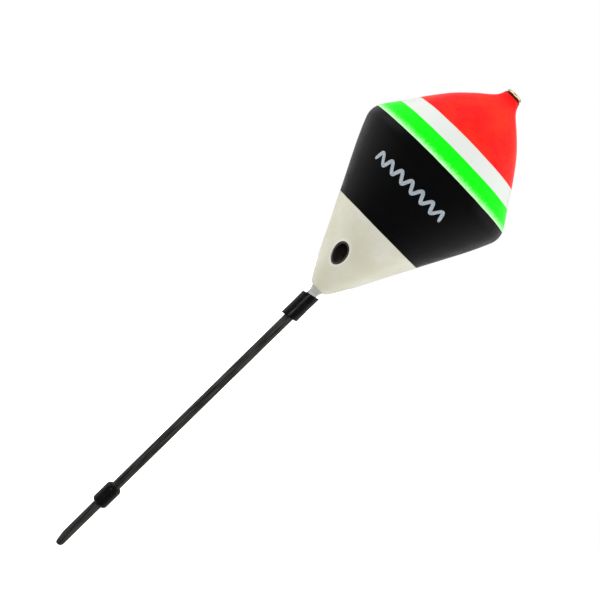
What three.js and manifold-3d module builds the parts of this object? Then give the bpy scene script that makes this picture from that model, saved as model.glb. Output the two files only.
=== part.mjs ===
// A through-line trout float. A painted, pear-shaped body carries a brass eyelet in its nose and an
// oblique plastic tube that leads the fishing line from the eyelet to the side of the lower cone.
// A clear peg in the foot, a soft sleeve and a thin stem follow, and a second sleeve clamps the line.
//
// Millimetres and degrees, +Z up along the axis of the float. The origin is the centre of the eyelet's
// rim. Inside the group `float`, heights are measured up from the foot of the body instead.

import * as THREE from 'three';
import { mergeVertices } from 'three/addons/utils/BufferGeometryUtils.js';
import Module from 'manifold-3d';

const wasm = await Module();
wasm.setup();

// ---------------------------------------------------------------- driving dimensions

// Body outline, from the foot up: lengths along the axis, and the radius of each rounded corner
const CONE_LENGTH = 27.5; // foot to the widest place
const SHOULDER_LENGTH = 4.5; // widest place to the collar, where the dome begins
const DOME_LENGTH = 7.5; // collar to the crown
const CROWN_LENGTH = 5.05; // crown to the nipple
const NIPPLE_LENGTH = 1.25;
const BODY_DIAMETER = 30.4;
const FOOT_DIAMETER = 3.4;
const NIPPLE_DIAMETER = 3.75; // where the nipple begins
const NOSE_DIAMETER = 3.2; // at its top
const COLLAR_INSET = 2.37; // from the widest radius in to the collar
const CROWN_INSET = 7.5; // from the widest radius in to the crown
const CONE_BELLY = 0.22; // how far the middle of the cone stands out from a straight line
const FOOT_ROUND = 1.1;
const BELLY_ROUND = 150;
const SHOULDER_ROUND = 3.5;
const COLLAR_ROUND = 8;
const CROWN_ROUND = 30;
const NIPPLE_ROUND = 3.6;
const NOSE_ROUND = 0.15;

// Line tube
const TUBE_DIAMETER = 2.8;
const TUBE_BORE = 2.1;
const EXIT_HEIGHT = 7.1; // middle of the side hole, above the foot

// Brass eyelet
const EYELET_FLANGE_DIAMETER = 3.0;
const EYELET_FLANGE_THICKNESS = 0.6;
const EYELET_LIP_ROUND = 0.25;
const EYELET_TAIL_DIAMETER = 2.2;
const EYELET_TAIL_LENGTH = 2.2;
const EYELET_BORE = 1.6;

// Peg, stem and sleeves
const PEG_DIAMETER = 1.75;
const PEG_IN_BODY = 9;
const PEG_SHOWING = 1.52; // between the foot and the upper sleeve
const PEG_IN_SLEEVE = 2.35;
const STEM_DIAMETER = 1.7;
const STEM_SHOWING = 56.5; // from the upper sleeve to the tip
const STEM_IN_SLEEVE = 2.2;
const STEM_TOP_ROUND = 0.15;
const STEM_TIP_ROUND = 0.45;
const TIP_BEVEL_LENGTH = 2.4;
const TIP_BEVEL_DEPTH = 0.65;
const UPPER_SLEEVE_LENGTH = 5.32;
const UPPER_SLEEVE_DIAMETER = 3.05;
const UPPER_SLEEVE_TOP_SKEW = 17;
const UPPER_SLEEVE_BOTTOM_SKEW = 12;
const LOWER_SLEEVE_LENGTH = 4.25;
const LOWER_SLEEVE_DIAMETER = 2.95;
const LOWER_SLEEVE_ROUND = 0.45;
const LOWER_SLEEVE_TO_TIP = 10.2;

// Fits
const BORE_CLEARANCE = 0.05; // radial, between a piece and the bore that it goes into
const SEAT_GAP = 0.3; // along the axis, between the ends of two pieces that meet
const TAIL_GAP = 0.6; // the same between the eyelet's tail and the tube, which is askew

// Cuts, in diameters of the piece that is cut
const CUT_SPARE = 3; // how far the piece runs past the cut
const KNIFE = 4; // width of the block that cuts it

// Facets
const BODY_SIDES = 64;
const SMALL_SIDES = 32;
const ARC_STEP = 9; // turn of a rounded corner for each facet
const SMALL_ARC_STEP = 30; // the same where the corner's radius is SMALL_ROUND or less
const SMALL_ROUND = 1;

const BODY_LENGTH = CONE_LENGTH + SHOULDER_LENGTH + DOME_LENGTH + CROWN_LENGTH + NIPPLE_LENGTH;

// ---------------------------------------------------------------- outlines

const at = (radius, height, round = 0) => ({ point: new THREE.Vector2(radius, height), round });

// The points of an outline whose corners are replaced by tangent arcs. Two arcs that share a straight
// too short for both get smaller together.
function roundedOutline(corners) {
  const points = corners.map(({ point }) => point);
  const straights = points.slice(1).map((point, index) => point.clone().sub(points[index]));
  const turns = corners.map((corner, index) => {
    const [before, after] = [straights[index - 1], straights[index]];
    return before && after ? Math.atan2(before.cross(after), before.dot(after)) : 0;
  });
  const wanted = corners.map(({ round }, index) => round * Math.tan(Math.abs(turns[index]) / 2));
  const shares = straights.map((straight, index) => {
    const taken = wanted[index] + wanted[index + 1];
    return taken > 0 ? Math.min(1, straight.length() / taken) : 1;
  });
  return corners.flatMap(({ point, round }, index) => {
    if (wanted[index] === 0) return [point];
    const share = Math.min(shares[index - 1], shares[index]);
    const forward = straights[index - 1].clone().normalize();
    const sideways = new THREE.Vector2(-forward.y, forward.x).multiplyScalar(Math.sign(turns[index]));
    const start = point.clone().addScaledVector(forward, -share * wanted[index]);
    const centre = start.clone().addScaledVector(sideways, share * round);
    const facetTurn = THREE.MathUtils.degToRad(round > SMALL_ROUND ? ARC_STEP : SMALL_ARC_STEP);
    const steps = Math.max(2, Math.ceil(Math.abs(turns[index]) / facetTurn));
    return Array.from({ length: steps + 1 }, (_, step) =>
      start.clone().rotateAround(centre, (turns[index] * step) / steps),
    );
  });
}

// Where the line from a point meets a circle as a tangent, on the side away from the axis
function tangentPoint(from, centre, radius) {
  const toCentre = centre.clone().sub(from);
  const distance = toCentre.length();
  const side = Math.sign(centre.y - from.y);
  const angle = side * Math.asin(radius / distance);
  const reach = Math.sqrt(distance ** 2 - radius ** 2);
  const direction = toCentre.normalize().rotateAround(new THREE.Vector2(), -angle);
  return from.clone().addScaledVector(direction, reach);
}

// Where two straight lines cross, each given by two of its points
function crossing(a, b, c, d) {
  const first = b.clone().sub(a);
  const second = d.clone().sub(c);
  const along = c.clone().sub(a).cross(second) / first.cross(second);
  return a.clone().addScaledVector(first, along);
}

// Outline of the body, from the middle of its foot to the middle of its nose
function bodyOutline() {
  const widest = BODY_DIAMETER / 2;
  const foot = new THREE.Vector2(FOOT_DIAMETER / 2, 0);
  const collar = new THREE.Vector2(widest - COLLAR_INSET, CONE_LENGTH + SHOULDER_LENGTH);
  const centre = new THREE.Vector2(widest - SHOULDER_ROUND, CONE_LENGTH);
  const coneEnd = tangentPoint(foot, centre, SHOULDER_ROUND);
  const outward = coneEnd.clone().sub(foot).normalize().rotateAround(new THREE.Vector2(), -Math.PI / 2);
  const belly = foot.clone().add(coneEnd).multiplyScalar(0.5).addScaledVector(outward, CONE_BELLY);
  const below = tangentPoint(belly, centre, SHOULDER_ROUND);
  const above = tangentPoint(collar, centre, SHOULDER_ROUND);
  const shoulder = crossing(belly, below, collar, above);
  return roundedOutline([
    at(0, 0),
    { point: foot, round: FOOT_ROUND },
    { point: belly, round: BELLY_ROUND },
    { point: shoulder, round: SHOULDER_ROUND },
    { point: collar, round: COLLAR_ROUND },
    at(widest - CROWN_INSET, collar.y + DOME_LENGTH, CROWN_ROUND),
    at(NIPPLE_DIAMETER / 2, BODY_LENGTH - NIPPLE_LENGTH, NIPPLE_ROUND),
    at(NOSE_DIAMETER / 2, BODY_LENGTH, NOSE_ROUND),
    at(0, BODY_LENGTH),
  ]);
}

// Radius of an outline at a height
function radiusAt(outline, height) {
  const upper = outline.findIndex((point, index) => index > 1 && point.y >= height);
  const a = outline[upper - 1];
  const b = outline[upper];
  return THREE.MathUtils.mapLinear(height, a.y, b.y, a.x, b.x);
}

// ---------------------------------------------------------------- solids

// An outline turned about +Z. It starts and ends on the axis, or closes on itself.
function revolve(outline, sides) {
  return new THREE.LatheGeometry(outline, sides).rotateX(Math.PI / 2);
}

function rod(radius, bottom, top, rounds = [0, 0]) {
  const corners = [at(0, bottom), at(radius, bottom, rounds[0]), at(radius, top, rounds[1]), at(0, top)];
  return revolve(roundedOutline(corners), SMALL_SIDES);
}

function toSolid(geometry) {
  geometry.deleteAttribute('normal');
  geometry.deleteAttribute('uv');
  const merged = mergeVertices(geometry);
  const corners = [];
  for (let first = 0; first < merged.index.count; first += 3) {
    const triangle = [0, 1, 2].map((offset) => merged.index.getX(first + offset));
    if (new Set(triangle).size === 3) corners.push(...triangle);
  }
  const mesh = new wasm.Mesh({
    numProp: 3,
    vertProperties: new Float32Array(merged.attributes.position.array),
    triVerts: new Uint32Array(corners),
  });
  return new wasm.Manifold(mesh);
}

function toGeometry(solid) {
  const mesh = solid.getMesh();
  const geometry = new THREE.BufferGeometry();
  geometry.setAttribute('position', new THREE.BufferAttribute(mesh.vertProperties, 3));
  geometry.setIndex(new THREE.BufferAttribute(mesh.triVerts, 1));
  geometry.computeVertexNormals();
  return geometry;
}

function cut(geometry, ...tools) {
  return toGeometry(tools.reduce((solid, tool) => solid.subtract(toSolid(tool)), toSolid(geometry)));
}

function piece(name, geometry, colour, roughness, metalness = 0, opacity = 1) {
  const options = { color: colour, roughness, metalness, opacity, transparent: opacity < 1 };
  const mesh = new THREE.Mesh(geometry, new THREE.MeshStandardMaterial(options));
  mesh.name = name;
  return mesh;
}

// ---------------------------------------------------------------- line channel

const outline = bodyOutline();

// The tube is straight. Its axis runs from under the eyelet's tail to the middle of the side hole,
// which faces -Y.
const tailEnd = BODY_LENGTH - EYELET_TAIL_LENGTH;
const tubeTop = tailEnd - TAIL_GAP;
const exitRadius = radiusAt(outline, EXIT_HEIGHT);
const tubeTilt = Math.atan2(exitRadius, tubeTop - EXIT_HEIGHT);
const tubeReach = Math.hypot(exitRadius, tubeTop - EXIT_HEIGHT);
const pastExit = CUT_SPARE * TUBE_DIAMETER;

// A geometry built along Z with its top at 0, moved onto the tube's axis
function alongTube(geometry) {
  return geometry.rotateX(-tubeTilt).translate(0, 0, tubeTop);
}

// ---------------------------------------------------------------- pieces

function floatBody() {
  const channel = rod(TUBE_DIAMETER / 2 + BORE_CLEARANCE, -tubeReach - pastExit, BORE_CLEARANCE);
  const seatRadius = EYELET_TAIL_DIAMETER / 2 + BORE_CLEARANCE;
  const eyeletSeat = rod(seatRadius, tubeTop - SEAT_GAP, BODY_LENGTH + SEAT_GAP);
  const socket = rod(PEG_DIAMETER / 2 + BORE_CLEARANCE, -SEAT_GAP, PEG_IN_BODY + SEAT_GAP);
  const bored = cut(revolve(outline, BODY_SIDES), alongTube(channel), eyeletSeat, socket);
  return piece('float_body', bored, 0xe8322a, 0.35);
}

// The lower end is cut flush with the cone
function lineTube() {
  const length = tubeReach + pastExit;
  const wall = roundedOutline([
    at(TUBE_BORE / 2, -length),
    at(TUBE_DIAMETER / 2, -length),
    at(TUBE_DIAMETER / 2, 0),
    at(TUBE_BORE / 2, 0),
    at(TUBE_BORE / 2, -length),
  ]);
  const tube = toSolid(alongTube(revolve(wall, SMALL_SIDES)));
  const flush = tube.intersect(toSolid(revolve(outline, BODY_SIDES)));
  return piece('line_tube', toGeometry(flush), 0x1a1816, 0.5);
}

function topEyelet() {
  const flangeBottom = BODY_LENGTH + BORE_CLEARANCE;
  const rim = BODY_LENGTH + EYELET_FLANGE_THICKNESS;
  const flange = EYELET_FLANGE_DIAMETER / 2;
  const tail = EYELET_TAIL_DIAMETER / 2;
  const bore = EYELET_BORE / 2;
  const section = roundedOutline([
    at(bore, tailEnd),
    at(tail, tailEnd),
    at(tail, flangeBottom),
    at(flange, flangeBottom, EYELET_LIP_ROUND),
    at(flange, rim, EYELET_LIP_ROUND),
    at(bore, rim, EYELET_LIP_ROUND),
    at(bore, tailEnd),
  ]);
  return piece('top_eyelet', revolve(section, SMALL_SIDES), 0xd6c29b, 0.25, 1);
}

function keelPeg() {
  const bottom = -PEG_SHOWING - PEG_IN_SLEEVE;
  const peg = rod(PEG_DIAMETER / 2, bottom, PEG_IN_BODY, [STEM_TOP_ROUND, STEM_TOP_ROUND]);
  return piece('keel_peg', peg, 0xb4b6aa, 0.15, 0, 0.6);
}

// Its heights are measured from the middle of its upper end. Both ends are cut askew, higher at +X.
function upperSleeve() {
  const outer = UPPER_SLEEVE_DIAMETER / 2;
  const pegBore = PEG_DIAMETER / 2 + BORE_CLEARANCE;
  const stemBore = STEM_DIAMETER / 2 + BORE_CLEARANCE;
  const spare = CUT_SPARE * UPPER_SLEEVE_DIAMETER;
  const step = (STEM_IN_SLEEVE - UPPER_SLEEVE_LENGTH - PEG_IN_SLEEVE) / 2;
  const section = roundedOutline([
    at(stemBore, -UPPER_SLEEVE_LENGTH - spare),
    at(outer, -UPPER_SLEEVE_LENGTH - spare),
    at(outer, spare),
    at(pegBore, spare),
    at(pegBore, step),
    at(stemBore, step),
    at(stemBore, -UPPER_SLEEVE_LENGTH - spare),
  ]);
  const knife = KNIFE * UPPER_SLEEVE_DIAMETER;
  const topCut = new THREE.BoxGeometry(knife, knife, knife)
    .translate(0, 0, knife / 2)
    .rotateY(-THREE.MathUtils.degToRad(UPPER_SLEEVE_TOP_SKEW));
  const bottomCut = new THREE.BoxGeometry(knife, knife, knife)
    .translate(0, 0, -knife / 2)
    .rotateY(-THREE.MathUtils.degToRad(UPPER_SLEEVE_BOTTOM_SKEW))
    .translate(0, 0, -UPPER_SLEEVE_LENGTH);
  const sleeve = piece('upper_sleeve', cut(revolve(section, SMALL_SIDES), topCut, bottomCut), 0x141414, 0.6);
  sleeve.position.z = -PEG_SHOWING;
  return sleeve;
}

// Its heights are measured from the tip, which is bevelled on the -X side
function stem() {
  const radius = STEM_DIAMETER / 2;
  const shaft = rod(radius, 0, STEM_SHOWING + STEM_IN_SLEEVE, [STEM_TIP_ROUND, STEM_TOP_ROUND]);
  const knife = KNIFE * STEM_DIAMETER;
  const bevel = new THREE.BoxGeometry(knife, knife, 2 * knife)
    .translate(-knife / 2, 0, 0)
    .rotateY(-Math.atan2(TIP_BEVEL_DEPTH, TIP_BEVEL_LENGTH))
    .translate(TIP_BEVEL_DEPTH - radius, 0, 0);
  return piece('stem', cut(shaft, bevel), 0x1e1e1d, 0.45);
}

// Its heights are measured from its lower end
function lowerSleeve() {
  const outer = LOWER_SLEEVE_DIAMETER / 2;
  const bore = STEM_DIAMETER / 2 + BORE_CLEARANCE;
  const section = roundedOutline([
    at(bore, 0),
    at(outer, 0, LOWER_SLEEVE_ROUND),
    at(outer, LOWER_SLEEVE_LENGTH, LOWER_SLEEVE_ROUND),
    at(bore, LOWER_SLEEVE_LENGTH),
    at(bore, 0),
  ]);
  return piece('lower_sleeve', revolve(section, SMALL_SIDES), 0x141414, 0.6);
}

// ---------------------------------------------------------------- assembly

const shaft = new THREE.Group();
const keeper = lowerSleeve();
shaft.add(stem(), keeper);
keeper.position.z = LOWER_SLEEVE_TO_TIP;
shaft.position.z = -PEG_SHOWING - UPPER_SLEEVE_LENGTH - STEM_SHOWING;

const float = new THREE.Group();
float.add(floatBody(), lineTube(), topEyelet(), keelPeg(), upperSleeve(), shaft);
float.position.z = -BODY_LENGTH - EYELET_FLANGE_THICKNESS;

const model = new THREE.Group();
model.add(float);

export default model;
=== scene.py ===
import math

import bmesh
import bpy
import numpy as np
from mathutils import Matrix, Vector


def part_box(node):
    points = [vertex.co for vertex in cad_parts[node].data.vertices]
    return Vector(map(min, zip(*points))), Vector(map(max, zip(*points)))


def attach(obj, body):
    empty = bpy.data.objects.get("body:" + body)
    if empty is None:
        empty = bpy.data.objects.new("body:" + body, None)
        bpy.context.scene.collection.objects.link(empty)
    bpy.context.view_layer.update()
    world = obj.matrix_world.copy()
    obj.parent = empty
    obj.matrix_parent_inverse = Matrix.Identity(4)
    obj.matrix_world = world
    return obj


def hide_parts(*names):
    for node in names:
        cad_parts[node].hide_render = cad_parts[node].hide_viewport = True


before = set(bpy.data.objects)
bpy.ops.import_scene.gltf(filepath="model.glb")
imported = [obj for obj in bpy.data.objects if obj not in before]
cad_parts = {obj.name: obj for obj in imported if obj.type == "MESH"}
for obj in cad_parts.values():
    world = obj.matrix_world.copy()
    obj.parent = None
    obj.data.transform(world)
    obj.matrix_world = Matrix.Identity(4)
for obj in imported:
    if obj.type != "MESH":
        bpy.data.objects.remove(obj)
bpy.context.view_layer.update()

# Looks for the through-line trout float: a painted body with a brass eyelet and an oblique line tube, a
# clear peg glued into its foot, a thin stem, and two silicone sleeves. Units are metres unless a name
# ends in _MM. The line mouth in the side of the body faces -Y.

MM = 0.001

# ---------------------------------------------------------------- named sizes

# Camera: in front and to the right of the line mouth, rolled so that the float lies across the frame
CAMERA_AZIMUTH = math.radians(17.3)
CAMERA_DISTANCE = 236.4 * MM
CAMERA_ABOVE_FOOT = 15.75 * MM
CAMERA_PITCH = math.radians(4.65)
CAMERA_YAW = math.radians(0.17)
CAMERA_ROLL = math.radians(45.6)
CAMERA_LENS_MM = 83.7

# Where each colour of paint begins, above the foot
BLACK_FROM_MM = 14.4
GREEN_FROM_MM = 28.7
WHITE_FROM_MM = 31.95
RED_FROM_MM = 34.7
# The last band is painted shade: a dark red-brown ring on the nose top, for the shadow under the eyelet's
# flange
NOSE_SHADE_FROM_MM = 45.6
GREEN_FADE_MM = 1.7
PAINT_EDGE_MM = 0.07  # how soft the edge of a colour is
PAINT_STEP_MM = 0.12  # the same for the step that its thickness makes

# Line tube and its mouth
MOUTH_ABOVE_FOOT = 7.1 * MM
TUBE_WALL = 0.35 * MM
BORE_CLEARANCE = 0.05 * MM  # radial, between a piece and the bore that it goes into
TUBE_EDGE = 0.11 * MM
TUBE_RECESS = 0.03 * MM
LIP_HEIGHT = 0.1 * MM
LIP_WIDTH = 0.2 * MM
LIP_REACH = 3.4 * MM
CHANNEL_NEAREST = 10 * MM
CHANNEL_FARTHEST = 60 * MM

# Eyelet, peg and the glue round the peg
EYELET_BORE_RADIUS = 0.8 * MM
EYELET_TAIL_RADIUS = 1.1 * MM
EYELET_FLARE = 0.04 * MM
EYELET_FLARE_LENGTH = 0.3 * MM
FLANGE_SEAM = 0.01 * MM
EYELET_FLANGE = 0.54 * MM
SEAT_BELOW_TAIL = 0.9 * MM
SOCKET_SPARE = MM / 4
PEG_END_ROUND = 0.12 * MM
GLUE_SPREAD = 0.5 * MM
GLUE_DROP = 0.88 * MM
GLUE_FILM = 0.02 * MM
GLUE_EDGE = 0.05 * MM
GLUE_SAG = 2.2  # how sharply the fillet curves in

# Stem and sleeves
STEM_BEVEL_LENGTH = 2.4 * MM
STEM_BEVEL_DEPTH = 0.65 * MM
STEM_TIP_ROUND = 0.78 * MM
STEM_TOP_ROUND = 0.15 * MM
STEM_TIP_FLAT = 0.15 * MM
STEM_BEVEL_SOFTNESS = 0.07 * MM
SLEEVE_TOP_SKEW = math.radians(17)
SLEEVE_BOTTOM_SKEW = math.radians(12)
SLEEVE_EDGE = 0.1 * MM
SLEEVE_WAIST = 0.03 * MM
SLEEVE_UNEVENNESS = 0.012  # of a knife cut, as a share of the radius
KEEPER_EDGE = 0.6 * MM
KEEPER_END_FLAT = 0.05 * MM
KEEPER_WAIST = 0.01 * MM
KEEPER_UNEVENNESS = 0.02

# Printed wave on the black paint
WAVE_ABOVE_FOOT = 22.9 * MM
WAVE_AZIMUTH = math.radians(-90 + 10.5)
WAVE_LENGTH = 16 * MM
WAVE_CRESTS = 7
WAVE_SWING = 0.72 * MM
WAVE_STROKE = 0.6 * MM
INK_THICKNESS = 0.02 * MM

# Facets of round pieces
ROUND_SIDES = 96
ROD_SIDES = 64
MOUTH_SIDES = 70
BODY_SIDES = 180
MOUTH_HALF_TURN = math.radians(26)
WAVE_STEPS = 220
WELL_CLEAR = 30  # softnesses from the bevel, beyond which the stem is left as it is

# White tent: how bright it is where it lights a surface, and where a surface mirrors it
TENT_LIT = 1.12
TENT_BEHIND = 0.5  # brighter by this behind the float, and dimmer on the camera's side
TENT_BEHIND_MOST = 0.4
TENT_ABOVE = 0.25
TENT_MIRRORED = 0.5
TENT_MIRRORED_IN_FRONT = TENT_MIRRORED / 9
TENT_MIRRORED_ABOVE = 0.35  # share of it that is left overhead

# Lamps
BOX_DISTANCE = 0.5
BOX_SIZE = 0.3
STRIP_SIZE = 0.07
EYELET_LAMP_DISTANCE = 0.2
EYELET_LAMP_SIZE = 0.22

# Strength of a constant glow given to the green and red bands: painted light that stands in for how bright
# fluorescent paint looks
PAINTED_GLOW = 0.3
PAINT_SPECULAR = 0.14
FLOOR_DROP = 12 * MM
FLOOR_SIZE = 3.0


def extent(node):
    low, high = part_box(node)
    return low, high, (high.x - low.x) / 2


body_low, _, _ = extent("float_body")
eyelet_low, eyelet_high, FLANGE_RADIUS = extent("top_eyelet")
_, tube_high, TUBE_RADIUS = extent("line_tube")
peg_low, peg_high, PEG_RADIUS = extent("keel_peg")
upper_low, upper_high, UPPER_RADIUS = extent("upper_sleeve")
stem_low, stem_high, STEM_RADIUS = extent("stem")
keeper_low, keeper_high, KEEPER_RADIUS = extent("lower_sleeve")
FOOT = body_low.z
MOUTH = FOOT + MOUTH_ABOVE_FOOT


# ---------------------------------------------------------------- camera

def make_camera():
    azimuth = CAMERA_AZIMUTH
    turn = azimuth + CAMERA_YAW
    level = Vector((-math.sin(turn), math.cos(turn), 0))
    forward = level * math.cos(CAMERA_PITCH) - Vector((0, 0, math.sin(CAMERA_PITCH)))
    right = forward.cross(Vector((0, 0, 1))).normalized()
    up = right.cross(forward)
    x_axis = right * math.cos(CAMERA_ROLL) + up * math.sin(CAMERA_ROLL)
    y_axis = up * math.cos(CAMERA_ROLL) - right * math.sin(CAMERA_ROLL)
    data = bpy.data.cameras.new("camera")
    data.lens = CAMERA_LENS_MM
    data.clip_start = 0.01
    camera = bpy.data.objects.new("camera", data)
    bpy.context.collection.objects.link(camera)
    place = Matrix((x_axis, y_axis, -forward)).transposed().to_4x4()
    place.translation = (
        CAMERA_DISTANCE * math.sin(azimuth),
        -CAMERA_DISTANCE * math.cos(azimuth),
        FOOT + CAMERA_ABOVE_FOOT,
    )
    camera.matrix_world = place
    bpy.context.scene.camera = camera


make_camera()


# ---------------------------------------------------------------- mesh helpers

def make_object(name, points, faces, smooth_angle=40):
    mesh = bpy.data.meshes.new(name)
    mesh.from_pydata(np.asarray(points).tolist(), [], faces)
    work = bmesh.new()
    work.from_mesh(mesh)
    bmesh.ops.recalc_face_normals(work, faces=work.faces)
    if work.calc_volume(signed=True) < 0:
        bmesh.ops.reverse_faces(work, faces=work.faces)
    work.to_mesh(mesh)
    work.free()
    obj = bpy.data.objects.new(name, mesh)
    bpy.context.collection.objects.link(obj)
    shade_smooth(obj, smooth_angle)
    return obj


def shade_smooth(obj, angle):
    obj.data.polygons.foreach_set("use_smooth", [True] * len(obj.data.polygons))
    obj.data.set_sharp_from_angle(angle=math.radians(angle))


def skin(rings, closed=False):
    """A skin over rings with the same number of points. Closed joins the last ring to the first, and
    otherwise the two end rings are capped."""
    count = len(rings[0])
    faces = []
    for ring in range(len(rings) if closed else len(rings) - 1):
        here = ring * count
        there = (ring + 1) % len(rings) * count
        for side in range(count):
            after = (side + 1) % count
            faces.append((here + side, here + after, there + after, there + side))
    if not closed:
        last = (len(rings) - 1) * count
        faces.append(tuple(reversed(range(count))))
        faces.append(tuple(range(last, last + count)))
    return np.vstack(rings), faces


def full_turn(count):
    return np.linspace(0, 2 * math.pi, count, endpoint=False)


def turned(profile, angles):
    """Rings about Z through (radius, height) pairs."""
    level = np.ones(len(angles))
    return [np.column_stack((r * np.cos(angles), r * np.sin(angles), z * level)) for r, z in profile]


def arc(centre_radius, centre_height, radius, start, end, steps=6, squash=1.0):
    """Points of an arc in the plane of radius and height, between two angles in degrees. It may be
    squashed along the height."""
    angles = np.radians(np.linspace(start, end, steps + 1))
    rise = radius * squash
    return [(centre_radius + radius * math.cos(t), centre_height + rise * math.sin(t)) for t in angles]


def spread(start, end, count):
    """Pairs evenly spaced between two (radius, height) pairs, without the ends."""
    shares = np.linspace(0, 1, count + 2)[1:-1]
    return [tuple(np.array(start) * (1 - share) + np.array(end) * share) for share in shares]


def cut_away(obj, *tools):
    """Cuts the tools out of a closed object and removes them."""
    for tool in tools:
        modifier = obj.modifiers.new("cut", "BOOLEAN")
        modifier.operation = "DIFFERENCE"
        modifier.solver = "EXACT"
        modifier.object = tool
    graph = bpy.context.evaluated_depsgraph_get()
    cut_mesh = bpy.data.meshes.new_from_object(obj.evaluated_get(graph))
    obj.modifiers.clear()
    obj.data = cut_mesh
    for tool in tools:
        bpy.data.objects.remove(tool)


def finish_piece(obj, material, body, node=None):
    obj.data.materials.clear()
    obj.data.materials.append(material)
    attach(obj, body)
    if node:
        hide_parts(node)


# ---------------------------------------------------------------- outline of the body

def cad_outline():
    """The rings of the turned CAD body as (radius, height), from the foot up."""
    levels = {}
    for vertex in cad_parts["float_body"].data.vertices:
        radius = math.hypot(vertex.co.x, vertex.co.y)
        levels.setdefault(round(vertex.co.z / MM, 3), []).append(radius)
    fewest = 0.5 * max(len(radii) for radii in levels.values())
    return np.array([(max(radii), z * MM) for z, radii in sorted(levels.items()) if len(radii) > fewest])


def smooth_outline(points, coarse=0.35 * MM, fine=0.075 * MM):
    """A curve through the rings, with finer steps round the line mouth (a cubic Hermite spline)."""
    lengths = np.linalg.norm(np.diff(points, axis=0), axis=1)
    along = np.concatenate(([0], np.cumsum(lengths)))
    slopes = np.gradient(points, along, axis=0)
    near = np.interp([MOUTH - LIP_REACH, MOUTH + LIP_REACH], points[:, 1], along)
    where = np.concatenate((
        np.arange(0, near[0], coarse),
        np.arange(near[0], near[1], fine),
        np.arange(near[1], along[-1], coarse),
        along[-6:],
    ))
    where = np.unique(where.round(7))
    index = np.clip(np.searchsorted(along, where, side="right") - 1, 0, len(lengths) - 1)
    span = lengths[index][:, None]
    t = (where - along[index])[:, None] / span
    curve = (
        (2 * t**3 - 3 * t**2 + 1) * points[index]
        + (t**3 - 2 * t**2 + t) * span * slopes[index]
        + (3 * t**2 - 2 * t**3) * points[index + 1]
        + (t**3 - t**2) * span * slopes[index + 1]
    )
    return np.minimum(curve, points.max(axis=0))


outline = smooth_outline(cad_outline())


def radius_at(height):
    return np.interp(height, outline[:, 1], outline[:, 0])


# ---------------------------------------------------------------- line channel

def tube_frame():
    """The top of the tube's axis, its direction down the tube, and the direction across it towards +Y."""
    tilt = 0
    for _ in range(5):
        top = tube_high.z - TUBE_RADIUS * math.sin(tilt)
        tilt = math.atan2(float(radius_at(MOUTH)), top - MOUTH)
    down = np.array((0, -math.sin(tilt), -math.cos(tilt)))
    across = np.array((0, math.cos(tilt), -math.sin(tilt)))
    return np.array((0, 0, top)), down, across


tube_top, tube_down, tube_across = tube_frame()


def round_tube(radius, angles, distance):
    """Points at a radius and at distances down the tube's axis."""
    sideways = np.outer(np.cos(angles), (1, 0, 0)) + np.outer(np.sin(angles), tube_across)
    return tube_top + radius * sideways + np.outer(distance * np.ones(len(angles)), tube_down)


def distance_to_surface(radius, angles):
    """How far down the tube its wall at this radius leaves the body, at each angle."""
    low = np.full(len(angles), CHANNEL_NEAREST)
    high = np.full(len(angles), CHANNEL_FARTHEST)
    for _ in range(40):
        middle = (low + high) / 2
        points = round_tube(radius, angles, 0) + middle[:, None] * tube_down
        inside = np.hypot(points[:, 0], points[:, 1]) < radius_at(points[:, 2])
        inside &= points[:, 2] > FOOT
        low = np.where(inside, middle, low)
        high = np.where(inside, high, middle)
    return low


# ---------------------------------------------------------------- pieces

def body_angles():
    """Angles round the body, closer together at the line mouth."""
    mouth = math.radians(-90)
    close = MOUTH_HALF_TURN
    fine = np.linspace(mouth - close, mouth + close, MOUTH_SIDES, endpoint=False)
    coarse = np.linspace(mouth + close, mouth + 2 * math.pi - close, BODY_SIDES, endpoint=False)
    return np.concatenate((fine, coarse))


def raise_lip(points):
    """Pushes the paint out into a soft lip round the line mouth."""
    from_axis = points - tube_top
    along = from_axis @ tube_down
    gap = np.linalg.norm(from_axis - np.outer(along, tube_down), axis=1) - TUBE_RADIUS
    lift = LIP_HEIGHT * np.exp(-((gap / LIP_WIDTH) ** 2))
    lift[np.abs(points[:, 2] - MOUTH) > LIP_REACH] = 0
    lift[points[:, 1] > 0] = 0
    radius = np.hypot(points[:, 0], points[:, 1])
    points[:, :2] *= (1 + lift / np.maximum(radius, MM))[:, None]
    return points


def float_body(material):
    points, faces = skin(turned(outline, body_angles()))
    body = make_object("painted_body", raise_lip(points), faces)
    angles = full_turn(ROUND_SIDES)
    channel_radius = TUBE_RADIUS + BORE_CLEARANCE
    channel_ends = (-BORE_CLEARANCE, CHANNEL_FARTHEST)
    channel = make_object("channel", *skin([round_tube(channel_radius, angles, d) for d in channel_ends]))
    seat_radius = EYELET_TAIL_RADIUS + BORE_CLEARANCE
    seat_profile = [(seat_radius, eyelet_low.z - SEAT_BELOW_TAIL), (seat_radius, MM)]
    seat = make_object("seat", *skin(turned(seat_profile, angles)))
    socket_radius = PEG_RADIUS + BORE_CLEARANCE
    socket_profile = [(socket_radius, FOOT - MM), (socket_radius, peg_high.z + SOCKET_SPARE)]
    socket = make_object("socket", *skin(turned(socket_profile, angles)))
    cut_away(body, channel, seat, socket)
    shade_smooth(body, 35)
    finish_piece(body, material, "float", "float_body")


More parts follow.
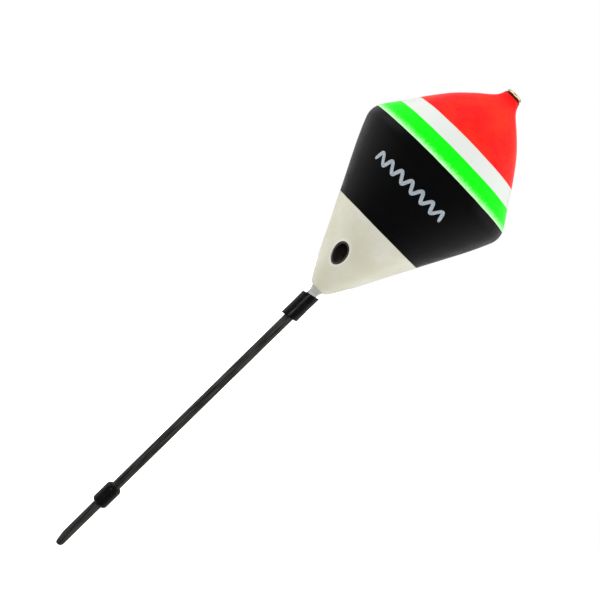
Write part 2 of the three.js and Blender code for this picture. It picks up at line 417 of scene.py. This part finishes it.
def line_tube(material):
    angles = full_turn(ROUND_SIDES)
    inner = TUBE_RADIUS - TUBE_WALL
    rings = [round_tube(inner, angles, 0), round_tube(TUBE_RADIUS, angles, 0)]
    turn = np.radians(np.linspace(0, 90, 6))
    edges = [(TUBE_RADIUS - TUBE_EDGE * (1 - math.cos(t)), TUBE_EDGE * (1 - math.sin(t))) for t in turn]
    edges += [(inner + TUBE_EDGE * (1 - math.cos(t)), TUBE_EDGE * (1 - math.sin(t))) for t in turn[::-1]]
    for radius, back in edges:
        reach = distance_to_surface(radius, angles) - TUBE_RECESS - back
        rings.append(round_tube(radius, angles, 0) + reach[:, None] * tube_down)
    tube = make_object("line_guide_tube", *skin(rings, closed=True))
    finish_piece(tube, material, "float", "line_tube")


def eyelet(material):
    roll = (FLANGE_RADIUS - EYELET_BORE_RADIUS) / 2
    half_height = EYELET_FLANGE / 2
    centre = eyelet_high.z - half_height
    profile = [
        (EYELET_BORE_RADIUS + EYELET_FLARE, eyelet_low.z),
        (EYELET_BORE_RADIUS, eyelet_low.z + EYELET_FLARE_LENGTH),
    ]
    profile += arc(EYELET_BORE_RADIUS + roll, centre, roll, 180, -90, 26, half_height / roll)
    profile += [
        (EYELET_TAIL_RADIUS, centre - half_height - FLANGE_SEAM),
        (EYELET_TAIL_RADIUS, eyelet_low.z),
    ]
    rings = turned(profile, full_turn(ROUND_SIDES))
    rim = make_object("brass_eyelet", *skin(rings, closed=True), smooth_angle=50)
    finish_piece(rim, material, "float", "top_eyelet")
    return rim


def rounded_rod(name, radius, bottom, top, bottom_round, top_round):
    profile = arc(radius - bottom_round, bottom + bottom_round, bottom_round, -90, 0)
    profile += spread((radius, bottom + bottom_round), (radius, top - top_round), 3)
    profile += arc(radius - top_round, top - top_round, top_round, 0, 90)
    return make_object(name, *skin(turned(profile, full_turn(ROD_SIDES))))


def peg(material):
    rod = rounded_rod("clear_peg", PEG_RADIUS, peg_low.z, peg_high.z, PEG_END_ROUND, PEG_END_ROUND)
    finish_piece(rod, material, "float", "keel_peg")


def peg_glue(material):
    """A concave fillet of clear glue from the foot down onto the peg."""
    outer = PEG_RADIUS + GLUE_SPREAD
    surface = float(np.interp(outer, outline[:12, 0], outline[:12, 1]))
    profile = [(PEG_RADIUS, FOOT - GLUE_DROP), (PEG_RADIUS + GLUE_FILM, FOOT - GLUE_DROP)]
    for share in np.linspace(0, 1, 9)[1:]:
        sag = (1 - share) ** GLUE_SAG
        height = surface - (surface - FOOT + GLUE_DROP) * sag
        profile.append((PEG_RADIUS + GLUE_FILM + (GLUE_SPREAD - GLUE_FILM) * share, height))
    profile += [(outer - GLUE_EDGE, surface + GLUE_FILM), (PEG_RADIUS, FOOT)]
    rings = turned(profile, full_turn(ROUND_SIDES))
    bead = make_object("peg_glue", *skin(rings, closed=True), smooth_angle=60)
    finish_piece(bead, material, "float")


def tubing(name, sections, angles, top_slope, bottom_slope, unevenness, seed):
    """Soft tubing from (radius, height, share) rows, where share says how far a ring follows the bottom
    cut (0) or the top cut (1). Both cuts are a little uneven, as a knife leaves them."""
    draw = np.random.default_rng(seed)
    phases = draw.uniform(0, 2 * math.pi, (2, 3))
    wobble = [sum(np.sin((k + 2) * angles + phase[k]) / (k + 2) for k in range(3)) for phase in phases]
    rings = []
    for radius, height, share in sections:
        slope = top_slope * share + bottom_slope * (1 - share)
        uneven = unevenness * (wobble[1] * share + wobble[0] * (1 - share))
        z = height + radius * np.cos(angles) * slope + uneven * radius
        rings.append(np.column_stack((radius * np.cos(angles), radius * np.sin(angles), z)))
    return make_object(name, *skin(rings, closed=True), smooth_angle=45)


def tubing_sections(outer, inner_bottom, inner_top, bottom, top, edge, waist, rows=14):
    turn = np.radians(np.linspace(0, 90, 5))
    sections = [(outer - edge * (1 - math.cos(t)), bottom + edge * (1 - math.sin(t)), 0) for t in turn[::-1]]
    for share in np.linspace(0, 1, rows + 2)[1:-1]:
        narrowing = waist * math.sin(math.pi * share) ** 2
        sections.append((outer - narrowing, bottom + edge + (top - bottom - 2 * edge) * share, share))
    sections += [(outer - edge * (1 - math.cos(t)), top - edge * (1 - math.sin(t)), 1) for t in turn]
    small = edge / 2
    middle = (bottom + top) / 2
    sections += [(inner_top + small, top, 1), (inner_top, top - small, 1)]
    sections += [(inner_top, middle + MM / 8, 0.5), (inner_bottom, middle - MM / 8, 0.5)]
    sections += [(inner_bottom, bottom + small, 0), (inner_bottom + small, bottom, 0)]
    return sections


def upper_sleeve(material):
    top = upper_high.z - UPPER_RADIUS * math.tan(SLEEVE_TOP_SKEW)
    bottom = upper_low.z + UPPER_RADIUS * math.tan(SLEEVE_BOTTOM_SKEW)
    bores = (STEM_RADIUS + BORE_CLEARANCE, PEG_RADIUS + BORE_CLEARANCE)
    sections = tubing_sections(UPPER_RADIUS, *bores, bottom, top, SLEEVE_EDGE, SLEEVE_WAIST)
    slopes = (math.tan(SLEEVE_TOP_SKEW), math.tan(SLEEVE_BOTTOM_SKEW))
    angles = full_turn(ROUND_SIDES)
    sleeve = tubing("silicone_connector", sections, angles, *slopes, SLEEVE_UNEVENNESS, seed=4)
    finish_piece(sleeve, material, "sleeve", "upper_sleeve")
    return sleeve


def lower_sleeve(material):
    bore = STEM_RADIUS + BORE_CLEARANCE
    edge = min(KEEPER_EDGE, KEEPER_RADIUS - bore - KEEPER_END_FLAT)
    ends = (keeper_low.z, keeper_high.z)
    sections = tubing_sections(KEEPER_RADIUS, bore, bore, *ends, edge, KEEPER_WAIST)
    sleeve = tubing("line_keeper", sections, full_turn(ROUND_SIDES), 0, 0, KEEPER_UNEVENNESS, seed=9)
    finish_piece(sleeve, material, "keeper", "lower_sleeve")
    return sleeve


def stem(material):
    """A rod with a soft bevel on the -X side of its tip."""
    profile = arc(STEM_RADIUS - STEM_TIP_ROUND, stem_low.z + STEM_TIP_ROUND, STEM_TIP_ROUND, -90, 0, 8)
    profile = [(STEM_TIP_FLAT, profile[0][1])] + profile
    bevel_top = stem_low.z + 1.4 * STEM_BEVEL_LENGTH
    profile += spread(profile[-1], (STEM_RADIUS, bevel_top), 24)
    profile += spread((STEM_RADIUS, bevel_top), (STEM_RADIUS, stem_high.z - STEM_TOP_ROUND), 40)
    profile += arc(STEM_RADIUS - STEM_TOP_ROUND, stem_high.z - STEM_TOP_ROUND, STEM_TOP_ROUND, 0, 90)
    points, faces = skin(turned(profile, full_turn(ROD_SIDES)))
    height = points[:, 2] - stem_low.z
    plane = STEM_BEVEL_DEPTH * (1 - height / STEM_BEVEL_LENGTH) - STEM_RADIUS
    over = (points[:, 0] - plane) / STEM_BEVEL_SOFTNESS
    bevelled = plane + STEM_BEVEL_SOFTNESS * np.logaddexp(0, np.minimum(over, WELL_CLEAR))
    points[:, 0] = np.where(over > WELL_CLEAR, points[:, 0], bevelled)
    rod = make_object("stem_rod", points, faces)
    finish_piece(rod, material, "stem", "stem")
    return rod


def printed_wave(material):
    """A generic wave line, printed round the front of the black paint."""
    share = np.linspace(-0.5, 0.5, WAVE_STEPS)
    swing = 2 * math.pi * WAVE_CRESTS * share
    angle = WAVE_AZIMUTH + share * WAVE_LENGTH / radius_at(FOOT + WAVE_ABOVE_FOOT)
    height = FOOT + WAVE_ABOVE_FOOT + WAVE_SWING * np.cos(swing)
    steepness = -WAVE_SWING * np.sin(swing) * 2 * math.pi * WAVE_CRESTS / WAVE_LENGTH
    taper = np.sqrt(np.clip(1 - (2 * np.abs(share)) ** 40, 0, 1))
    half = WAVE_STROKE / 2 * np.maximum(taper, 0.05)
    normal = np.stack((-steepness, np.ones(WAVE_STEPS))) / np.hypot(steepness, 1)
    corners = []
    for side, lift in ((-1, -1), (-1, 1), (1, 1), (1, -1)):
        at_angle = angle + side * half * normal[0] / radius_at(height)
        at_height = height + side * half * normal[1]
        radius = radius_at(at_height) + lift * INK_THICKNESS
        corners.append(np.column_stack((radius * np.cos(at_angle), radius * np.sin(at_angle), at_height)))
    rings = [np.array([corner[i] for corner in corners]) for i in range(WAVE_STEPS)]
    wave = make_object("printed_wave", *skin(rings), smooth_angle=30)
    finish_piece(wave, material, "float")


# ---------------------------------------------------------------- material helpers

def paint(red, green, blue):
    """A colour given in the usual 0 to 255 screen numbers."""
    screen = [channel / 255 for channel in (red, green, blue)]
    linear = [c / 12.92 if c <= 0.04045 else ((c + 0.055) / 1.055) ** 2.4 for c in screen]
    return (*linear, 1)


class Shader:
    """One node material. Each method adds a node and returns the output that matters."""

    def __init__(self, tree):
        self.tree = tree
        self._place = None

    def set(self, socket, value):
        if isinstance(value, bpy.types.NodeSocket):
            self.tree.links.new(value, socket)
        else:
            socket.default_value = value

    def node(self, kind, inputs=(), **settings):
        node = self.tree.nodes.new(kind)
        for name, value in settings.items():
            setattr(node, name, value)
        for key, value in dict(inputs).items():
            self.set(node.inputs[key], value)
        return node

    def place(self):
        """The point on the object, in millimetres."""
        if self._place is None:
            coordinates = self.node("ShaderNodeTexCoord").outputs["Object"]
            self._place = self.stretch(coordinates, (1000, 1000, 1000))
        return self._place

    def vector(self, operation, a, b=(0, 0, 0)):
        return self.node("ShaderNodeVectorMath", {0: a, 1: b}, operation=operation).outputs

    def stretch(self, vector, factors):
        return self.vector("MULTIPLY", vector, factors)["Vector"]

    def axis(self, name):
        return self.node("ShaderNodeSeparateXYZ", {0: self.place()}).outputs[name]

    def math(self, operation, a, b=0.0, clamp=False):
        return self.node("ShaderNodeMath", {0: a, 1: b}, operation=operation, use_clamp=clamp).outputs[0]

    def remap(self, value, low, high, to_low=0.0, to_high=1.0):
        inputs = {"Value": value, "From Min": low, "From Max": high, "To Min": to_low, "To Max": to_high}
        return self.node("ShaderNodeMapRange", inputs, interpolation_type="SMOOTHSTEP").outputs["Result"]

    def above(self, value, edge, width):
        return self.remap(value, edge - width / 2, edge + width / 2)

    def noise(self, scale, detail=2.0, roughness=0.5, vector=None):
        vector = self.place() if vector is None else vector
        inputs = {"Vector": vector, "Scale": scale, "Detail": detail, "Roughness": roughness}
        return self.node("ShaderNodeTexNoise", inputs).outputs["Fac"]

    def distance_to_line(self, point, direction):
        """How far the place is from a line, in millimetres. The direction has a length of 1."""
        away = self.vector("SUBTRACT", self.place(), tuple(point / MM))["Vector"]
        across = self.vector("CROSS_PRODUCT", away, direction)["Vector"]
        return self.vector("LENGTH", across)["Value"]

    def dot(self, vector, other):
        return self.vector("DOT_PRODUCT", vector, other)["Value"]

    def blend(self, factor, a, b):
        return self.node("ShaderNodeMix", {0: factor, 2: a, 3: b}, data_type="FLOAT").outputs[0]

    def mix(self, factor, a, b):
        node = self.node("ShaderNodeMix", data_type="RGBA")
        self.set(node.inputs[0], factor)
        self.set(node.inputs[6], a)
        self.set(node.inputs[7], b)
        return node.outputs[2]

    def bump(self, height, distance_mm, strength=1.0, normal=None):
        inputs = {"Strength": strength, "Distance": distance_mm * MM, "Height": height}
        if normal is not None:
            inputs["Normal"] = normal
        return self.node("ShaderNodeBump", inputs).outputs["Normal"]


def new_material(name, **uniform):
    """A Principled material and its Shader. The keywords set uniform numbers on its own sockets."""
    material = bpy.data.materials.new(name)
    material.use_nodes = True
    shader = Shader(material.node_tree)
    surface = material.node_tree.nodes["Principled BSDF"]
    for socket, value in uniform.items():
        surface.inputs[socket.replace("_", " ")].default_value = value
    return material, shader, surface


# ---------------------------------------------------------------- materials

CREAM = paint(241, 240, 225)
CREAM_DEEP = paint(230, 228, 203)
# Lighter cream for a painted highlight: a ring round the line mouth
CREAM_PAINTED_HIGHLIGHT = paint(247, 246, 234)
BLACK = paint(12, 12, 14)
BLACK_WORN = paint(26, 25, 25)
GREEN = paint(0, 234, 4)
GREEN_THIN = paint(196, 250, 190)
WHITE = paint(240, 244, 238)
RED = paint(250, 42, 16)
RED_DEEP = paint(250, 16, 20)
# Painted shade on the nose top, under the eyelet's flange
NOSE_PAINTED_SHADE = paint(104, 16, 4)


def fluorescent_paint():
    """The painted bands of the body, over one another from the foot to the nose."""
    material, shader, surface = new_material(
        "float_paint", Emission_Strength=PAINTED_GLOW, Specular_IOR_Level=PAINT_SPECULAR
    )
    drift = shader.math("MULTIPLY", shader.noise(0.22, 2.0), 0.16)
    height = shader.math("ADD", shader.math("SUBTRACT", shader.axis("Z"), FOOT / MM + 0.08), drift)
    cloud = shader.noise(0.16, 3.0, 0.55)
    speckle = shader.noise(13.0, 2.0, 0.7)
    streak = shader.noise(1.0, 3.0, 0.6, shader.stretch(shader.place(), (4.5, 4.5, 0.45)))
    cream = shader.mix(shader.remap(cloud, 0.35, 0.7), CREAM, CREAM_DEEP)
    # Painted highlight: the cream turns lighter in a thin ring round the line mouth
    past_tube = shader.math("SUBTRACT", shader.distance_to_line(tube_top, tube_down), TUBE_RADIUS / MM)
    cream = shader.mix(shader.remap(past_tube, 0.1, 0.36, 1.0, 0.0), cream, CREAM_PAINTED_HIGHLIGHT)
    rub = shader.remap(shader.noise(0.9, 6.0, 0.72), 0.62, 0.8)
    black = shader.mix(shader.math("MULTIPLY", rub, 0.35), BLACK, BLACK_WORN)
    fade = shader.remap(height, GREEN_FROM_MM - 0.4, GREEN_FROM_MM + GREEN_FADE_MM, 1.0, 0.0)
    spray = shader.math("ADD", fade, shader.remap(speckle, 0.3, 0.7, -0.2, 0.2))
    spray = shader.math("ADD", spray, shader.remap(streak, 0.3, 0.7, -0.16, 0.16))
    green = shader.mix(shader.remap(spray, 0.25, 1.05), GREEN, GREEN_THIN)
    red = shader.mix(shader.remap(cloud, 0.3, 0.65), RED, RED_DEEP)
    colour = cream
    # glow is painted light: the green and red bands give off light of their own colour
    glow = (0, 0, 0, 1)
    bands = ((BLACK_FROM_MM, black, 0), (GREEN_FROM_MM, green, 1), (WHITE_FROM_MM, WHITE, 0))
    # The last band is painted shade on the nose top, under the eyelet's flange
    bands += ((RED_FROM_MM, red, 1), (NOSE_SHADE_FROM_MM, NOSE_PAINTED_SHADE, 0))
    for start, shade, glows in bands:
        edge = shader.above(height, start, PAINT_EDGE_MM)
        colour = shader.mix(edge, colour, shade)
        glow = shader.mix(edge, glow, shade if glows else (0, 0, 0, 1))
    shader.set(surface.inputs["Base Color"], colour)
    shader.set(surface.inputs["Emission Color"], glow)
    satin = shader.remap(shader.noise(0.5, 4.0, 0.65), 0.3, 0.75, 0.24, 0.4)
    shader.set(surface.inputs["Roughness"], shader.math("ADD", satin, shader.math("MULTIPLY", rub, 0.12)))
    peel = shader.bump(shader.noise(1.3, 2.0), 0.02, 0.5)
    grain = shader.bump(shader.noise(14.0, 2.0, 0.6), 0.004, 0.5, peel)
    steps = shader.above(height, BLACK_FROM_MM, PAINT_STEP_MM)
    for start in (GREEN_FROM_MM, WHITE_FROM_MM, RED_FROM_MM):
        steps = shader.math("ADD", steps, shader.above(height, start, PAINT_STEP_MM))
    shader.set(surface.inputs["Normal"], shader.bump(steps, 0.02, 0.6, grain))
    return material


def print_ink():
    material, shader, surface = new_material("print_ink", Specular_IOR_Level=0.4)
    patchy = shader.remap(shader.noise(4.0, 4.0, 0.7), 0.38, 0.62)
    colour = shader.mix(patchy, paint(170, 184, 196), paint(206, 216, 222))
    shader.set(surface.inputs["Base Color"], colour)
    shader.set(surface.inputs["Roughness"], shader.remap(patchy, 0, 1, 0.4, 0.55))
    shader.set(surface.inputs["Normal"], shader.bump(patchy, 0.006, 0.5))
    return material


def brass():
    material, shader, surface = new_material("eyelet_brass_metal", Metallic=1.0)
    tarnish = shader.remap(shader.noise(1.6, 5.0, 0.65), 0.5, 0.72)
    colour = shader.mix(tarnish, paint(254, 234, 180), paint(214, 172, 100))
    shader.set(surface.inputs["Base Color"], colour)
    turned_marks = shader.noise(9.0, 3.0, 0.6, shader.stretch(shader.place(), (0.4, 0.4, 5.0)))
    shader.set(surface.inputs["Roughness"], shader.remap(turned_marks, 0.3, 0.7, 0.16, 0.34))
    shader.set(surface.inputs["Normal"], shader.bump(turned_marks, 0.006, 0.5))
    return material


def tube_plastic():
    material, shader, surface = new_material("tube_plastic_black", Specular_IOR_Level=0.5)
    streaks = shader.noise(3.0, 3.0, 0.6, shader.stretch(shader.place(), (3.0, 3.0, 0.35)))
    base = shader.mix(shader.remap(streaks, 0.35, 0.7), paint(20, 15, 13), paint(50, 36, 24))
    # The end face and outer wall turn patchily grey: partly scuffing, partly a painted highlight on the
    # tube's cut end
    from_line = shader.distance_to_line(tube_top, tube_down)
    past_bore = shader.math("SUBTRACT", from_line, (TUBE_RADIUS - TUBE_WALL) / MM)
    patchy = shader.remap(streaks, 0.2, 0.6, 0.3, 0.8)
    lightened = shader.math("MULTIPLY", shader.above(past_bore, 0.07, 0.06), patchy)
    shader.set(surface.inputs["Base Color"], shader.mix(lightened, base, paint(86, 82, 74)))
    shader.set(surface.inputs["Roughness"], shader.remap(streaks, 0.3, 0.7, 0.28, 0.45))
    shader.set(surface.inputs["Normal"], shader.bump(streaks, 0.012, 0.5))
    return material


def clear_plastic(name, tint, roughness, clearness):
    material, shader, surface = new_material(name, Transmission_Weight=clearness, IOR=1.49)
    smear = shader.noise(1.8, 4.0, 0.6)
    colour = shader.mix(shader.remap(smear, 0.3, 0.7), tint, paint(250, 252, 248))
    shader.set(surface.inputs["Base Color"], colour)
    shader.set(surface.inputs["Roughness"], shader.remap(smear, 0.3, 0.75, roughness, roughness + 0.08))
    shader.set(surface.inputs["Normal"], shader.bump(shader.noise(5.0, 2.0), 0.01, 0.4))
    return material


def silicone():
    material, shader, surface = new_material("silicone_black", Specular_IOR_Level=0.45)
    bloom = shader.remap(shader.noise(1.1, 5.0, 0.65), 0.45, 0.75)
    dust = shader.remap(shader.noise(11.0, 1.0), 0.72, 0.8)
    body = shader.mix(bloom, paint(14, 13, 14), paint(27, 26, 26))
    dusty = shader.mix(shader.math("MULTIPLY", dust, 0.3), body, paint(90, 88, 84))
    shader.set(surface.inputs["Base Color"], dusty)
    shader.set(surface.inputs["Roughness"], shader.remap(bloom, 0, 1, 0.26, 0.38))
    drawn = shader.noise(2.4, 3.0, 0.6, shader.stretch(shader.place(), (1.6, 1.6, 0.3)))
    coarse = shader.bump(drawn, 0.03, 0.5)
    shader.set(surface.inputs["Normal"], shader.bump(shader.noise(10.0, 2.0), 0.005, 0.5, coarse))
    return material


def stem_plastic():
    material, shader, surface = new_material("stem_plastic_black", Specular_IOR_Level=0.35)
    drawn = shader.noise(3.2, 4.0, 0.65, shader.stretch(shader.place(), (2.0, 2.0, 0.06)))
    scuff = shader.remap(shader.noise(1.6, 6.0, 0.7), 0.6, 0.75)
    base = shader.mix(shader.remap(drawn, 0.4, 0.6), paint(24, 23, 21), paint(70, 69, 64))
    lightened = shader.mix(shader.math("MULTIPLY", scuff, 0.3), base, paint(98, 96, 90))
    shader.set(surface.inputs["Base Color"], lightened)
    rough = shader.remap(drawn, 0.3, 0.7, 0.4, 0.55)
    shader.set(surface.inputs["Roughness"], shader.math("ADD", rough, shader.math("MULTIPLY", scuff, 0.1)))
    streaks = shader.bump(drawn, 0.02, 0.6)
    shader.set(surface.inputs["Normal"], shader.bump(shader.noise(12.0, 2.0), 0.004, 0.4, streaks))
    return material


# ---------------------------------------------------------------- build

float_body(fluorescent_paint())
printed_wave(print_ink())
line_tube(tube_plastic())
brass_rim = eyelet(brass())
peg(clear_plastic("peg_acrylic", paint(240, 246, 240), 0.03, 1.0))
peg_glue(clear_plastic("glue_clear", paint(253, 255, 242), 0.3, 0.4))
rubber = silicone()
black_parts = [upper_sleeve(rubber), lower_sleeve(rubber), stem(stem_plastic())]


# ---------------------------------------------------------------- floor and light

def make_floor():
    """A pale floor just under the tip. It only shows to the camera, so that it adds no glare."""
    half = FLOOR_SIZE / 2
    level = stem_low.z - FLOOR_DROP
    corners = [(-half, -half, level), (half, -half, level), (half, half, level), (-half, half, level)]
    floor = make_object("floor", corners, [(0, 1, 2, 3)])
    material, shader, surface = new_material("floor_white", Emission_Strength=1.0, Roughness=0.9)
    shade = shader.mix(shader.noise(0.02), (0.99, 0.99, 0.99, 1), (1, 1, 1, 1))
    shader.set(surface.inputs["Base Color"], shade)
    shader.set(surface.inputs["Emission Color"], shade)
    floor.data.materials.append(material)
    for ray in ("diffuse", "glossy", "transmission", "shadow"):
        setattr(floor, "visible_" + ray, False)


def make_world():
    """A white tent round the float, brighter above and behind. The camera sees plain white. What surfaces
    mirror or let through is dimmer, most of all on the camera's side."""
    world = bpy.data.worlds.new("tent")
    world.use_nodes = True
    bpy.context.scene.world = world
    shader = Shader(world.node_tree)
    background = world.node_tree.nodes["Background"]
    towards_camera = (math.sin(CAMERA_AZIMUTH), -math.cos(CAMERA_AZIMUTH), 0)
    direction = shader.node("ShaderNodeTexCoord").outputs["Generated"]
    facing = shader.dot(direction, towards_camera)
    upward = shader.dot(direction, (0, 0, 1))
    behind = shader.math("MULTIPLY", shader.math("MAXIMUM", facing, -TENT_BEHIND_MOST), -TENT_BEHIND)
    lit = shader.math("ADD", behind, shader.math("MULTIPLY", upward, TENT_ABOVE))
    lit = shader.math("ADD", lit, TENT_LIT)
    mirrored = shader.remap(facing, -0.3, 0.6, TENT_MIRRORED, TENT_MIRRORED_IN_FRONT)
    overhead = shader.remap(upward, 0.1, 0.8, 1.0, TENT_MIRRORED_ABOVE)
    mirrored = shader.math("MULTIPLY", mirrored, overhead)
    rays = shader.node("ShaderNodeLightPath").outputs
    strength = shader.blend(rays["Is Diffuse Ray"], mirrored, lit)
    background.inputs["Color"].default_value = (1, 1, 1, 1)
    shader.set(background.inputs["Strength"], shader.math("MAXIMUM", strength, rays["Is Camera Ray"]))


def soft_box(name, azimuth, elevation, distance, size, radiance, centre, only=()):
    """An area light that looks at the centre, and may be kept to some objects. The azimuth is measured
    as the camera's is."""
    a = math.radians(azimuth)
    e = math.radians(elevation)
    back = Vector((math.sin(a) * math.cos(e), -math.cos(a) * math.cos(e), math.sin(e)))
    data = bpy.data.lights.new(name, "AREA")
    data.shape = "SQUARE"
    data.size = size
    data.energy = radiance * math.pi * size**2
    light = bpy.data.objects.new(name, data)
    bpy.context.collection.objects.link(light)
    light.location = centre + back * distance
    light.rotation_euler = back.to_track_quat("Z", "Y").to_euler()
    light.visible_camera = False
    if only:
        receivers = bpy.data.collections.new(name + "_receivers")
        for obj in only:
            receivers.objects.link(obj)
        light.light_linking.receiver_collection = receivers


make_floor()
make_world()
float_centre = Vector((0, 0, FOOT / 2))
stem_top = Vector((0, 0, stem_high.z))
eyelet_lamp = (EYELET_LAMP_DISTANCE, EYELET_LAMP_SIZE)
soft_box("left_box", -75, 20, BOX_DISTANCE, BOX_SIZE, 0.6, float_centre)
soft_box("right_box", 105, 15, BOX_DISTANCE, BOX_SIZE, 0.5, float_centre)
soft_box("front_strip", 1, -2, BOX_DISTANCE, STRIP_SIZE, 8.0, stem_top, black_parts)
soft_box("eyelet_left", -50, 35, *eyelet_lamp, 1.7, eyelet_high, [brass_rim])
soft_box("eyelet_right", 80, 40, *eyelet_lamp, 1.7, eyelet_high, [brass_rim])
soft_box("eyelet_front", 17, -5, *eyelet_lamp, 1.4, eyelet_high, [brass_rim])

bpy.context.scene.view_settings.view_transform = "Standard"
